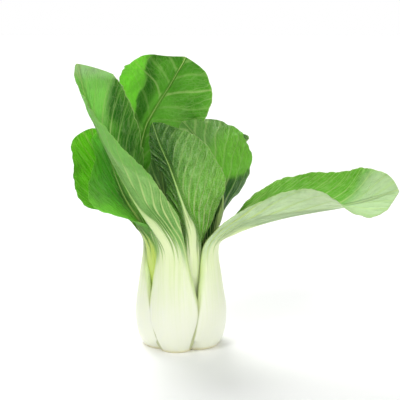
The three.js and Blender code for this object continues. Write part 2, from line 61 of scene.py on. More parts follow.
# The stalks stand in rings. Each ring's stalk is described at five heights: base, lower bulb,
# belly, shoulder and neck. `radius` is to the outer face, `fold` is how far each half turns in.
RINGS = {
    "outer": dict(
        height=[-4, 5.5, 25, 48, 70], radius=[21, 29, 31.8, 28.8, 27.2],
        thickness=[9.5, 7, 6.8, 5.6, 4.6], half_width=[15, 19, 18.5, 13.8, 10.2],
        edge=[3.8, 4.6, 4.4, 3, 1.6], fold=[0.6, 0.7, 0.68, 0.55, 0.5],
    ),
    "second": dict(
        height=[6, 12, 27, 48, 70], radius=[8.5, 17.5, 23.4, 22.3, 22.3],
        thickness=[4, 5.2, 5.6, 5, 4.4], half_width=[5, 10, 12.5, 10.5, 8.4],
        edge=[1.6, 2.2, 2.4, 2, 1.4], fold=[0.5, 0.65, 0.7, 0.6, 0.55],
    ),
    "inner": dict(
        height=[10, 16, 28, 46, 64], radius=[6.5, 12, 16.6, 16.2, 15.4],
        thickness=[2.6, 3.8, 4.2, 3.8, 3.2], half_width=[4, 8, 9.5, 8, 6.4],
        edge=[1.2, 1.6, 1.8, 1.5, 1.2], fold=[0.6, 0.8, 0.85, 0.8, 0.7],
    ),
    "heart": dict(
        height=[13, 18, 30, 44, 56], radius=[4, 7, 10.4, 10, 8.6],
        thickness=[1.6, 2.2, 2.6, 2.2, 1.8], half_width=[2.5, 4.5, 6, 5.4, 4.4],
        edge=[0.9, 1.1, 1.2, 1.1, 1], fold=[0.8, 1, 1.1, 1, 0.9],
    ),
}

# Azimuths are in degrees from -Y, positive towards +X, at the base and at the neck of the stalk.
# `stalk_share` narrows a stalk against its ring's, at the ring's five heights.
# `swing` turns a stalk further towards its neck, in degrees; `neck_out` moves its neck outwards.
# `wave` is the height of the waves of the margin, their number and their phase.
# `tone` says how green the `stalk` is, and how `deep`, `fresh`, `pale`, `pucker`ed or `gloss`y the
# blade is; `deep` is partly painted shade on leaves in the shade of others, `fresh` partly painted
# light where light comes through a blade, and `pale` partly painted light on an under side in full
# light. It says how strongly its veins show as `lines`, and what share of that is left in its painted
# shade as `shaded_lines`; how much light comes `through` its parts with painted light; between which
# two places along the leaf painted pale light lies over its `tip`; and how far from its edge runs the
# painted shade where its foot is pressed against its neighbours, `seam`.
# `glow` lists its parts with painted light, `glow_paleness` says how pale that painted light is, and
# `shade` lists its parts with painted shade in deeper green: a share, then for each border of the
# part its slopes along and across the leaf and where it begins and ends. All places are in mm.
# `veins` has the side veins' spacing in mm and how far they lean along the leaf.
# `lobe` folds the outer part of one half inwards: its side, where it folds and how steeply.
# `blade` has the stations of the blade: where the ridge of its midrib runs, which way its outer
# face looks, and the width and the fold of its halves, each as one number, or as two for the left
# and the right half seen from outside.
LEAVES = [dict(
    name="front_leaf", ring="outer", azimuth=[-5, -17], stalk_share=[0.7, 0.7, 0.95, 1, 1],
    wave=[1.6, 2.4, 0.4],
    tone=dict(
        fresh=0.3, through=0.55, glow_paleness=0.3, tip=(126, 136), lines=0.55, pucker=0.7, seam=4.7,
        glow=[(0.95, (1, 2, 84, 98))], shade=[(0.8, (0.2, -1, 34, 44))],
    ),
    blade=[
        ([-15, -29, 84], [-0.45, -0.88, -0.1], [13, 15], [0.8, 0.7]),
        ([-26, -33, 99], [-0.7, -0.68, -0.2], [20, 17], 1),
        ([-36, -36.5, 117], [-0.85, -0.35, -0.35], [26, 18], 1.1),
        ([-46, -38, 137], [-0.86, 0.1, -0.45], [28, 18.5], [1, 1.1]),
        ([-54.5, -36, 156], [-0.8, 0.42, -0.45], [28, 17], [0.8, 1]),
        ([-60, -33.5, 170], [-0.72, 0.6, -0.4], [27.5, 12], [0.5, 0.9]),
        ([-62.5, -31.5, 180], [-0.64, 0.7, -0.35], [26.5, 6], [0.2, 0.8]),
        ([-64.5, -28, 188], [-0.5, 0.65, -0.6], [24.5, 3], [0.1, 0.6]),
        ([-66, -23.5, 192.5], [-0.4, 0.55, -0.75], [18, 2], [0.1, 0.5]),
    ],
), dict(
    name="right_leaf", ring="outer", azimuth=[55, 66], wave=[1.8, 2.2, 1.2],
    tone=dict(pale=0.86, fresh=0.7, glow_paleness=1, pucker=0.8, glow=[(0.7, (1, -1.2, 88, 112))]),
    blade=[
        ([36.5, -17.5, 80], [0.5, -0.4, -0.75], [10, 18.5], 0.9),
        ([52, -22, 87], [0.2, -0.36, -0.9], [12.5, 28.5], [1.4, 1.3]),
        ([70, -26.5, 93], [0.1, -0.26, -0.95], [16, 31], [1.5, 1.4]),
        ([88, -31, 97.5], [0.1, -0.1, -0.98], [20, 30], [1.3, 1.2]),
        ([105, -35.5, 101.5], [0.1, 0.2, -0.95], [24, 27], 0.8),
        ([120, -40, 106.5], [0.1, 0.5, -0.85], [22, 25], [0.3, 0.5]),
        ([132, -43, 111.5], [0.2, 0.5, -0.8], [15, 17], [0.3, 0.5]),
        ([139, -45, 114], [0.25, 0.45, -0.8], [4, 5], 0.5),
    ],
), dict(
    name="left_leaf", ring="outer", azimuth=[-67, -77], swing=-28,
    stalk_share=[1.1, 1.05, 0.9, 0.62, 0.45], wave=[1.6, 2.5, 2.2],
    tone=dict(seam=4.5, fresh=1, through=0.6, lines=0.8, glow=[(0.95, (1, 0, 12, 40))]),
    blade=[
        ([-33.5, 7, 84], [-0.85, 0.5, -0.1], [6, 9], [0.6, 0.5]),
        ([-43, 12, 98], [-0.5, 0.85, -0.15], [11, 25], [0.8, 0.4]),
        ([-51, 15.5, 112], [-0.5, 0.83, -0.2], [13, 29], [0.8, 0.4]),
        ([-57, 18.5, 126], [-0.5, 0.83, -0.2], [13, 26], [0.8, 0.4]),
        ([-60.5, 20.5, 138], [-0.5, 0.84, -0.2], [11, 20], [0.8, 0.4]),
        ([-62.5, 22, 146], [-0.5, 0.84, -0.2], [5, 9], [0.8, 0.4]),
    ],
), dict(
    name="back_left_leaf", ring="outer", azimuth=[-148, -150], wave=[2, 2.5, 0.9],
    tone=dict(deep=0.2),
    blade=[
        ([-17, 32, 87], [-0.5, 0.8, -0.3], 12, 0.7),
        ([-22, 41, 104], [-0.45, 0.8, -0.4], 20, 0.8),
        ([-27, 50, 121], [-0.45, 0.8, -0.4], 25, 0.8),
        ([-31, 58, 136], [-0.45, 0.75, -0.5], 24, 0.7),
        ([-34, 64, 148], [-0.45, 0.7, -0.55], 16, 0.6),
        ([-35.5, 67, 154], [-0.45, 0.7, -0.55], 5, 0.5),
    ],
), dict(
    name="back_right_leaf", ring="outer", azimuth=[132, 132], wave=[2, 2.5, 1.7],
    tone=dict(deep=0.2),
    blade=[
        ([24, 28, 86], [0.6, 0.75, -0.25], 12, 0.7),
        ([30, 37, 101], [0.55, 0.75, -0.4], [19, 20], 0.8),
        ([33, 46, 113], [0.5, 0.7, -0.5], 23, 0.8),
        ([36, 55, 123], [0.5, 0.65, -0.6], 21, 0.7),
        ([38, 62, 130], [0.5, 0.6, -0.65], 14, 0.6),
        ([39, 66, 133], [0.5, 0.6, -0.65], 4, 0.5),
    ],
), dict(
    name="front_right_leaf", ring="second", azimuth=[27, 22], wave=[1.2, 2.5, 2.9], veins=(9, 1.7),
    tone=dict(
        stalk=0.05, fresh=0.6, pucker=2.6, gloss=1, lines=0.38, shaded_lines=0.4,
        glow=[(0.85, (-1, 0.3, -60, -16))], shade=[(0.68, (0.35, -1, 18, 28))],
    ),
    blade=[
        ([7.5, -24, 84], [0.1, -0.99, 0], [8, 17], [0.6, 0.5]),
        ([3, -26.5, 98], [-0.05, -1, 0], [10, 28], [0.8, 0.4]),
        ([-2, -27, 113], [-0.2, -0.97, 0.05], [11, 31], [0.9, 0.35]),
        ([-7.5, -25, 128], [-0.3, -0.93, 0.2], [12, 28], [0.9, 0.35]),
        ([-13.5, -20.5, 141], [-0.35, -0.85, 0.4], [11, 21], [0.9, 0.4]),
        ([-17, -14.5, 150], [-0.35, -0.8, 0.5], [7.5, 11], [0.8, 0.5]),
        ([-18.5, -10.5, 154], [-0.35, -0.8, 0.5], [3, 4], [0.8, 0.5]),
    ],
), dict(
    name="front_left_leaf", ring="second", azimuth=[-45, -64], neck_out=3, wave=[1.6, 2.5, 0.2],
    tone=dict(
        stalk=1, fresh=1, through=0.7, glow_paleness=0.35, lines=0.45, glow=[(0.95, (0.15, 1, 0, 24))],
    ),
    blade=[
        ([-29.5, -7, 83], [-0.85, 0.25, -0.2], [9, 23], [0.7, 0.3]),
        ([-38, -0.5, 98], [-0.62, 0.74, -0.2], [13, 31], [0.9, 0.3]),
        ([-45, 5.5, 113], [-0.6, 0.77, -0.2], [15, 25], [1, 0.4]),
        ([-49.5, 10, 128], [-0.55, 0.8, -0.2], [14, 16], [1, 0.5]),
        ([-51.5, 13, 140], [-0.5, 0.84, -0.2], [10, 12], [0.9, 0.5]),
        ([-52.5, 14.5, 147], [-0.5, 0.84, -0.2], [4, 5], [0.8, 0.5]),
    ],
), dict(
    name="right_inner_leaf", ring="second", azimuth=[96, 88], wave=[1.5, 2.5, 1.1], veins=(11, 1.2),
    tone=dict(
        stalk=0.3, deep=0.8, lines=0.4, through=0.35,
        glow=[(0.25, (1, 0, 50, 55)), (0.95, (1, 0, 50, 55), (-1, 0.4, -72, -50))],
        shade=[(0.95, (-1, 0, -58, -50))],
    ),
    blade=[
        ([26.5, -3, 86], [0.7, -0.65, -0.3], [9, 11], 0.6),
        ([28.5, -7, 101], [0.55, -0.75, -0.45], [12, 21], [0.6, 0.5]),
        ([26.5, -9, 116], [0.45, -0.85, -0.15], [15, 34], [0.6, 0.45]),
        ([20, -7.5, 130], [0.35, -0.75, 0.45], [16, 41], [0.6, 0.4]),
        ([12, -3, 141.5], [0.3, -0.65, 0.65], [15, 42], [0.6, 0.35]),
        ([5.5, 2, 149], [0.25, -0.6, 0.75], [11, 34], [0.5, 0.3]),
        ([1, 5.5, 153], [0.25, -0.6, 0.75], [4, 18], [0.5, 0.3]),
    ],
), dict(
    name="left_inner_leaf", ring="second", azimuth=[-117, -115], narrowing=5, wave=[2.2, 2.6, 0.7],
    veins=(12, 0.95), lobe=(1, 0.35, 0.15),
    tone=dict(
        stalk=0.4, fresh=0.35, through=0.6, glow_paleness=0.1, lines=0.4, pucker=0.6,
        glow=[(0.95, (-0.3, 1, -6, -3)), (0.5, (-1, 0.5, -110, -92), (0, -1, -1, 5))],
        shade=[(0.7, (-0.5, 1, -43, -31))],
    ),
    blade=[
        ([-25, 14, 88], [-0.8, 0.6, -0.1], 8.5, 0.6),
        ([-28.5, 18, 108], [-0.6, 0.8, -0.1], [9, 8.5], 0.6),
        ([-29.5, 21, 128], [-0.4, 0.9, -0.1], [14, 9], [0.6, 0.8]),
        ([-25, 23, 147], [-0.2, 0.95, 0], [29, 21], [0.5, 0.7]),
        ([-17.5, 23, 161], [-0.1, 0.97, 0.1], [35, 38], [0.4, 0.65]),
        ([-8, 21.5, 176], [-0.1, 0.95, 0.2], [32, 42.5], [0.35, 0.6]),
        ([-2, 19, 186.5], [-0.1, 0.93, 0.3], [26, 33], [0.3, 0.5]),
        ([1.5, 17.5, 192.3], [-0.1, 0.92, 0.35], [18, 24.5], [0.3, 0.45]),
        ([3, 16.6, 195.6], [-0.1, 0.9, 0.4], [5, 7], [0.3, 0.4]),
    ],
), dict(
    name="back_inner_leaf", ring="second", azimuth=[171, 175], wave=[1.8, 2.5, 1.9],
    tone=dict(stalk=0.3, deep=0.3),
    blade=[
        ([2, 28, 87], [0, 1, -0.15], 10, 0.6),
        ([1.5, 33, 104], [0, 1, -0.2], 16, 0.7),
        ([0.5, 37, 121], [0, 1, -0.2], 21, 0.7),
        ([-1, 40, 138], [0, 1, -0.1], 21, 0.7),
        ([-2, 41.5, 150], [0, 1, 0], 15, 0.6),
        ([-2.5, 42, 157], [0, 1, 0], 4, 0.5),
    ],
), dict(
    name="inner_front_leaf", ring="inner", azimuth=[-8, -16], wave=[0.8, 2, 0.5],
    tone=dict(stalk=0.5, deep=0.8),
    blade=[
        ([-7, -14.5, 80], [-0.1, -1, 0], 8.5, 0.7),
        ([-9.5, -12, 97], [-0.1, -1, 0], 13, 0.8),
        ([-12, -9, 114], [-0.1, -1, 0.1], 13.5, 0.8),
        ([-13.5, -5.5, 128], [-0.1, -0.95, 0.2], 9.5, 0.8),
        ([-14, -3.5, 136], [-0.1, -0.95, 0.2], 3, 0.7),
    ],
), dict(
    name="inner_right_leaf", ring="inner", azimuth=[112, 108], wave=[0.8, 2, 1.5],
    tone=dict(stalk=0.5, deep=0.4),
    blade=[
        ([15, 5, 80], [0.95, 0.3, 0], 8, 0.7),
        ([14.5, 5.5, 95], [0.95, 0.3, 0.1], 11, 0.8),
        ([12.5, 6, 109], [0.9, 0.3, 0.2], 11, 0.8),
        ([9.5, 6.5, 121], [0.85, 0.3, 0.35], 7.5, 0.8),
        ([7.5, 7, 127], [0.85, 0.3, 0.35], 2.5, 0.7),
    ],
), dict(
    name="inner_left_leaf", ring="inner", azimuth=[-128, -132], wave=[0.8, 2, 2.5],
    tone=dict(stalk=0.5, deep=0.4),
    blade=[
        ([-12, 11.5, 80], [-0.75, 0.65, 0], 8, 0.7),
        ([-12, 13, 95], [-0.7, 0.7, 0.1], 11, 0.8),
        ([-10.5, 14, 110], [-0.6, 0.75, 0.2], 11, 0.8),
        ([-8, 14, 122], [-0.6, 0.75, 0.3], 7.5, 0.8),
        ([-6.5, 13.5, 128], [-0.6, 0.75, 0.3], 2.5, 0.7),
    ],
)]

# By default the painted pale light of a tip begins past the end of every leaf, so none shows.
NO_TIP = (500, 501)  # past the end of every leaf
DAPPLE = (0.62, 0.74, 0.6)
HEART_TONE = {"stalk": 0.7, "fresh": 0.8}
HEART_AZIMUTHS = [60, 180, -60]  # three small leaves round the growing point
HEART_BLADE = {"width": [6.5, 8, 6, 2], "height": [70, 82, 93, 99], "radius": [8, 6.5, 4.5, 2.5]}

# The cut stem: radius and height of its outline, from the rim of the cut face to its top.
STEM_OUTLINE = [(14.5, 0), (15.2, 1.5), (14.2, 5), (10.4, 9.5), (5.6, 13.5), (2.6, 17), (0, 18.5)]
STEM_CUTS = 3  # new points between two of the outline's
STEM_STEPS = 72
CUT_RINGS = 3  # rings of faces inside the rim of the cut face
CUT_RING_WIDTH = 3.4
LEVEL = 0.99  # how upright the normal of a level face is at least

VIEW_MIDDLE = (12.9 * MM, 0, 100 * MM)
FLOOR_DROP = 0.05  # how far the floor lies under the cut base
WHITE = (1, 1, 1, 1)

MIDRIB_TIP_HALF_WIDTH = 0.9
MIDRIB_TIP_THICKNESS = 1.4
MIDRIB_NARROWING = 3.4
MIDRIB_THINNING = 1.8
EVEN_SHARES = [1, 1, 1, 1, 1]
SWING_POWER = 5
NECK_OUT_POWER = 3
LONG_VEINS = (15, 2.6)
CREASE_SHARE = 0.5
CREASE_WIDTH = 2.5
TOOTH_HEIGHT = 0.28
UNEVEN_SHARE = 0.012
LOBE_SOFTNESS = 0.08
BLADE_LIFT = 1.0
TIP_ROWS = 7
TIP_ROUNDING = 0.35  # of the last station's width
LEAST_ROUNDING, MOST_ROUNDING = 2.5, 8
SPINE_SAMPLES = 60  # between two stations
MARGIN_ANGLES = (30, 60, 90)
FINE_VEIN_WIDTH = 0.32
# How strongly blisters show painted shade in their hollows and painted highlights on their crests.
BLISTER_SHARE = 0.13
COLUMNS_A_HALF = {"outer": 32, "second": 28, "inner": 16, "heart": 10}
ROW_STEP = {"outer": 0.9, "second": 1.0, "inner": 1.4, "heart": 1.8}

# The layers of marks that a leaf's skin reads. Each holds three numbers: how far across from the
# midrib, how far from the neck, and 1 outside to -1 inside; the veins' phase, how far past the
# midrib, and the veins' pitch; how far from the margin, how far past the vein's start, and the
# share of the half's width. Lengths are in mm.
MARKS = ("leaf_place", "leaf_vein", "leaf_rim")
FACE_MARK = 2  # the number of the one that differs between the two faces

# The columns of a station after its place and its outer direction.
LEFT, RIGHT, FOLD_LEFT, FOLD_RIGHT, RIB, THICKNESS, EDGE, CREASE = range(6, 14)


def srgb(red, green, blue):
    """A colour of 0 to 255 as the linear values that shaders use."""
    shares = [value / 255 for value in (red, green, blue)]
    return tuple(s / 12.92 if s <= 0.04045 else ((s + 0.055) / 1.055) ** 2.4 for s in shares)


def blended(first, second, share):
    """The colour that is `share` of the way from the first to the second."""
    return tuple(a + (b - a) * share for a, b in zip(first, second))


def smooth(values, low, high):
    """Eases from 0 at `low` to 1 at `high`."""
    share = np.clip((values - low) / (high - low), 0, 1)
    return share * share * (3 - 2 * share)


def spline(values, v):
    """Catmull-Rom through evenly numbered rows of values, read at every place in v."""
    last = len(values) - 1
    i = np.clip(np.floor(v).astype(int), 0, last - 1)
    f = (v - i)[:, None]
    before, start = values[np.maximum(i - 1, 0)], values[i]
    end, after = values[i + 1], values[np.minimum(i + 2, last)]
    slope_in, slope_out = (end - before) / 2, (after - start) / 2
    rise = end - start
    return start + f * (
        slope_in + f * (3 * rise - 2 * slope_in - slope_out + f * (slope_in + slope_out - 2 * rise))
    )


def leaf_stations(leaf):
    """The leaf's stations as rows of numbers, and the number of the one at its neck."""
    ring = RINGS[leaf["ring"]]
    steps = len(ring["height"])
    rows = []
    for k in range(steps):
        base, neck = leaf["azimuth"]
        to_neck = k / (steps - 1)
        turn = leaf.get("swing", 0) * to_neck**SWING_POWER
        azimuth = math.radians(base + (neck - base) * to_neck + turn)
        radius = ring["radius"][k] + leaf.get("neck_out", 0) * to_neck**NECK_OUT_POWER
        out = (math.sin(azimuth), -math.cos(azimuth), 0)
        half = ring["half_width"][k] * leaf.get("stalk_share", EVEN_SHARES)[k]
        fold = ring["fold"][k]
        place = (radius * out[0], radius * out[1], ring["height"][k])
        sizes = (half, half, fold, fold, half, ring["thickness"][k], ring["edge"][k], 0)
        rows.append((*place, *out, *sizes))
    neck_half, neck_thickness = rows[-1][RIB], ring["thickness"][-1]
    for k, (place, out, *halves) in enumerate(leaf["blade"]):
        left = 1 - (k + 1) / len(leaf["blade"])
        narrowing = left ** leaf.get("narrowing", MIDRIB_NARROWING)
        rib = MIDRIB_TIP_HALF_WIDTH + (neck_half - MIDRIB_TIP_HALF_WIDTH) * narrowing
        thinning = (neck_thickness - MIDRIB_TIP_THICKNESS) * left**MIDRIB_THINNING
        width, fold = (both if isinstance(both, list) else [both] * 2 for both in halves)
        sizes = (*width, *fold, rib, MIDRIB_TIP_THICKNESS + thinning, BLADE_LIFT, CREASE_SHARE)
        rows.append((*place, *out, *sizes))
    return np.array(rows, float), steps - 1


def leaf_rows(stations, neck, step):
    """Where the leaf's rows lie, in stations and in mm from the neck, and their width at the tip."""
    last = len(stations) - 1
    fine = np.linspace(0, last, SPINE_SAMPLES * last + 1)
    spine = spline(stations[:, :3], fine)
    run = np.concatenate([[0], np.cumsum(np.linalg.norm(np.diff(spine, axis=0), axis=1))])
    tip_width = stations[-1, LEFT] + stations[-1, RIGHT]
    rounding = float(np.clip(TIP_ROUNDING * tip_width, LEAST_ROUNDING, MOST_ROUNDING))
    body = np.arange(0, run[-1] - rounding - 0.4 * step, step)
    turn = np.linspace(0, math.pi / 2, TIP_ROWS)
    runs = np.concatenate([body, run[-1] - rounding * (1 - np.sin(turn))])
    taper = np.concatenate([np.ones(len(body)), np.maximum(np.cos(turn), 0.02)])
    return np.interp(runs, run, fine), runs - np.interp(neck, fine, run), taper


def running_sum(values, places):
    """The integral of each row of values over its places, from its first column."""
    steps = 0.5 * (values[:, 1:] + values[:, :-1]) * np.diff(places, axis=1)
    return np.concatenate([np.zeros((len(values), 1)), np.cumsum(steps, axis=1)], axis=1)


def slope(values, places, axis):
    """How fast the values change with their places along an axis of the grid."""
    return np.gradient(values, axis=axis) / np.maximum(np.gradient(places, axis=axis), 1e-4)


def half_sheet(leaf, stations, neck, v, run, taper, sign, relief):
    """One half of a leaf, from its midrib to its margin, on a grid of rows and columns."""
    value = spline(stations, v)

    def column(kind):
        return value[:, kind][:, None]

    half = column(RIGHT if sign > 0 else LEFT)
    fold = column(FOLD_RIGHT if sign > 0 else FOLD_LEFT)
    neck_half = stations[neck, RIB]
    rib, edge = column(RIB), column(EDGE)
    start = fold * np.clip(column(CREASE), 0, 1)
    rate = (fold - start) / half
    t = run[:, None]
    side_phase = leaf["wave"][2] * (2 + sign)

    # The outline is a little uneven, and rounds off at the tip.
    uneven = np.sin(0.31 * t + 3 * side_phase) + 0.6 * np.sin(0.83 * t + 5 * side_phase)
    in_blade = smooth(v, neck - 0.3, neck + 1.2)[:, None]
    teeth = TOOTH_HEIGHT * (np.abs(np.sin(0.95 * t + side_phase + 0.8 * uneven)) * (half > 6) - 0.5)
    width = taper[:, None] * (half * (1 + UNEVEN_SHARE * in_blade * uneven) + in_blade * teeth)
    sheet_edge = edge * (1 - in_blade) + relief.margin_thickness * in_blade
    corner = np.minimum(0.5 * sheet_edge, 0.6 * width)
    columns = COLUMNS_A_HALF[leaf["ring"]]
    shares = np.linspace(0, 1, columns + 1)[None, :]
    turn = np.radians(MARGIN_ANGLES)[None, :]
    distance = np.concatenate(
        [shares * (width - corner), width - corner + corner * np.sin(turn)], axis=1
    )
    closing = np.concatenate([np.ones(columns + 1), np.cos(turn)[0]])[None, :]

    angle = start * smooth(distance, 0, CREASE_WIDTH) + rate * distance
    across = running_sum(np.cos(angle), distance)
    inward = running_sum(np.sin(angle), distance)

    # Side veins run up inside the midrib, leave it one by one and bend towards the margin.
    inner_reach = np.where(t < 0, distance * neck_half / half, distance)
    blade_rows = run >= 0
    ribs, runs = value[blade_rows, RIB][::-1], run[blade_rows][::-1]
    leaving = np.interp(inner_reach, ribs, runs)
    beyond = distance - rib
    spacing, lean = leaf.get("veins", LONG_VEINS)
    bend = lean * (1 + 1.6 * np.exp(-np.maximum(t, 0) / 40))
    lag = np.where(beyond < 0, t - leaving, bend * np.maximum(beyond, 0) ** 0.86)
    phase = (t - lag) / spacing
    outside = smooth(beyond, 0, 6)
    phase = phase + 0.5 * (sign > 0) + 0.05 * np.sin(0.25 * distance + 4 * side_phase) * outside
    phase = phase + 0.12 * np.sin(0.12 * t + 2 * side_phase)
    pitch = 1 / np.hypot(slope(phase, distance, 1), slope(phase, np.broadcast_to(t, phase.shape), 0))
    pitch = np.clip(pitch, 0.2, 14)

    # Both faces: a thin blade, the midrib's back, raised veins with hollow panels between them.
    wing = np.clip(beyond / np.maximum(width - rib, 0.5), 0, 1)
    thin = relief.blade_thickness + (relief.margin_thickness - relief.blade_thickness) * wing
    sheet = edge * (1 - in_blade) + thin * in_blade
    middle = 0.5 * edge
    crown = np.maximum(0, 1 - (distance / rib) ** 2) ** (1 + 0.7 * in_blade)
    back = (column(THICKNESS) - edge) * crown
    off_line = (phase - np.round(phase)) * pitch
    ridge = np.exp(-((off_line / (1.1 - 0.45 * wing)) ** 2))
    panel = 0.5 - 0.5 * np.cos(2 * math.pi * phase)
    panel = panel * (0.7 + 0.3 * np.sin(0.5 * lag + 4 * phase))
    reach_up = smooth(beyond, 0, 4) * (1 - 0.65 * wing) * smooth(t, 0, 14)
    fluting = np.where(beyond < 0, 1, 0) * smooth(t, -50, -4) * smooth(inner_reach, 0.8, 2.5)
    ridge_height = relief.vein_height * ridge * (reach_up + 0.35 * fluting * (1 - in_blade))
    pucker = leaf["tone"].get("pucker", 1)
    hollow = pucker * relief.panel_depth * panel * reach_up * (1 - smooth(wing, 0.75, 1))

    # The whole sheet waves at its margin, with finer ripples on top.
    height, count, _ = leaf["wave"]
    share_up = (v - neck)[:, None] / (len(stations) - 1 - neck)
    swell = np.minimum(1, np.minimum(3 * share_up, 4 * (1 - share_up)))
    rise = np.sin(2 * math.pi * count * share_up + side_phase)
    wave = np.where(share_up > 0, height * swell * wing**2 * rise, 0)
    ripple = np.sin(0.62 * t + 2.3 * side_phase) + 0.7 * np.sin(1.07 * t + 4.1 * side_phase)
    wave = wave + relief.ripple_height * ripple * wing**3 * np.clip(swell, 0, 1)
    roll = np.sin(0.16 * t + 0.11 * distance + side_phase) * np.sin(0.09 * distance - 0.07 * t)
    wave = wave + relief.swell_height * roll * smooth(beyond, 0, 10) * np.clip(swell, 0, 1)

    if leaf.get("lobe") and leaf["lobe"][0] == sign:
        _, fold_at, lean = leaf["lobe"]
        past = np.maximum(wing - fold_at, 0)
        wave = wave - lean * (width - rib) * past**2 / (past + LOBE_SOFTNESS) * smooth(share_up, 0.3, 0.5)

    # The two faces close on each other round the margin.
    middle = middle + wave - hollow
    outer = middle + closing * 0.5 * sheet + back + ridge_height * closing
    inner = middle - closing * 0.5 * sheet + 0.3 * ridge_height * closing
    signed = sign * distance
    margin = np.broadcast_to(width, distance.shape) - distance
    runs = np.broadcast_to(t, distance.shape)
    flat = (across, inward, angle)
    marks = (signed, runs, phase, beyond, pitch, margin, lag, wing)
    return flat, outer, inner, marks


def leaf_faces(leaf, relief):
    """Points of the leaf's outer and inner faces in metres, and what its skin reads at each."""
    stations, neck = leaf_stations(leaf)
    v, run, taper = leaf_rows(stations, neck, ROW_STEP[leaf["ring"]])
    near = 0.02
    along = spline(stations[:, :3], v + near) - spline(stations[:, :3], v - near)
    along /= np.linalg.norm(along, axis=1)[:, None]
    value = spline(stations, v)
    out = value[:, 3:6]
    out = out - along * np.sum(out * along, axis=1)[:, None]
    out /= np.linalg.norm(out, axis=1)[:, None]
    side = np.cross(along, out)
    origin = value[:, :3] - out * value[:, THICKNESS][:, None]

    faces, marks = [], []
    for sign in (-1, 1):
        half = half_sheet(leaf, stations, neck, v, run, taper, sign, relief)
        (across, inward, angle), outer, inner, half_marks = half
        for lift in (outer, inner):
            sideways = sign * (across + lift * np.sin(angle))
            outwards = lift * np.cos(angle) - inward
            faces.append(
                origin[:, None]
                + side[:, None] * sideways[..., None]
                + out[:, None] * outwards[..., None]
            )
        marks.append(np.stack(half_marks, axis=-1))

    def joined(left, right):
        return np.concatenate([left[:, :0:-1], right], axis=1)

    outer, inner = joined(faces[0], faces[2]), joined(faces[1], faces[3])
    return outer * MM, inner * MM, joined(*marks)


def add_sheet(bm, outer, inner, marks):
    """A shell open at both ends: a grid wrapped round the leaf's two faces."""
    rows, columns = outer.shape[:2]
    around = 2 * columns - 2
    made = bmesh.ops.create_grid(bm, x_segments=around, y_segments=rows - 1, size=1)["verts"]
    places = np.concatenate([outer, inner[:, -2:0:-1], outer[:, :1]], axis=1)
    facing = np.concatenate([np.ones(columns), -np.ones(columns - 2), np.ones(1)])
    facing[[0, columns - 1, -1]] = 0
    wrapped = np.concatenate([marks, marks[:, -2:0:-1], marks[:, :1]], axis=1)
    wrapped = np.insert(wrapped, FACE_MARK, facing, axis=-1).reshape(len(made), len(MARKS), 3)
    layers = [bm.verts.layers.float_vector.get(name) for name in MARKS]
    for vert, point, triples in zip(made, places.reshape(-1, 3).tolist(), wrapped.tolist()):
        vert.co = point
        for layer, triple in zip(layers, triples):
            vert[layer] = triple
    seam = [vert for k, vert in enumerate(made) if k % (around + 1) in (0, around)]
    bmesh.ops.remove_doubles(bm, verts=seam, dist=1e-8)


def stand_on_base(bm):
    """Trims what lies under the level of the cut base and fills every open end."""
    geometry = bm.verts[:] + bm.edges[:] + bm.faces[:]
    bmesh.ops.bisect_plane(
        bm, geom=geometry, dist=1e-7, plane_co=(0, 0, 0), plane_no=(0, 0, -1), clear_outer=True
    )
    open_edges = [edge for edge in bm.edges if edge.is_boundary]
    ends = bmesh.ops.holes_fill(bm, edges=open_edges, sides=0)["faces"]
    bmesh.ops.recalc_face_normals(bm, faces=bm.faces[:])
    for face in bm.faces:
        face.smooth = True
    for face in ends:
        if abs(face.normal.z) > LEVEL and face.calc_center_median().z < MM:
            face.smooth = False
            for edge in face.edges:
                edge.smooth = False


def placed(name, data):
    thing = bpy.data.objects.new(name, data)
    bpy.context.scene.collection.objects.link(thing)
    return thing


def meshed(name, bm, material):
    mesh = bpy.data.meshes.new(name)
    bm.to_mesh(mesh)
    bm.free()
    mesh.materials.append(material)
    return placed(name, mesh)


def finished(name, bm, material, nodes):
    """Makes the piece, which stands for its CAD nodes and rides on the head."""
    piece = meshed(name, bm, material)
    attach(piece, BODY)
    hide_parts(*nodes)


class Value:
    """A number, colour or vector of a material, with the arithmetic that makes new numbers of it."""

    def __init__(self, nodes, socket):
        self.nodes = nodes
        self.socket = socket

    def __add__(self, other):
        return self.nodes.math("ADD", self, other)

    def __sub__(self, other):
        return self.nodes.math("SUBTRACT", self, other)

    def __rsub__(self, other):
        return self.nodes.math("SUBTRACT", other, self)

    def __mul__(self, other):
        return self.nodes.math("MULTIPLY", self, other)

    def __truediv__(self, other):
        return self.nodes.math("DIVIDE", self, other)

    def __abs__(self):
        return self.nodes.math("ABSOLUTE", self)

    def or_more(self, other):
        return self.nodes.math("MAXIMUM", self, other)

    def rounded(self):
        return self.nodes.math("ROUND", self)

    def ease(self, low, high, start=0, end=1):
        """From `start` to `end` while this value goes from `low` to `high`."""
        places = {"Value": self, "From Min": low, "From Max": high, "To Min": start, "To Max": end}
        return self.nodes.out("ShaderNodeMapRange", places, interpolation_type="SMOOTHSTEP")


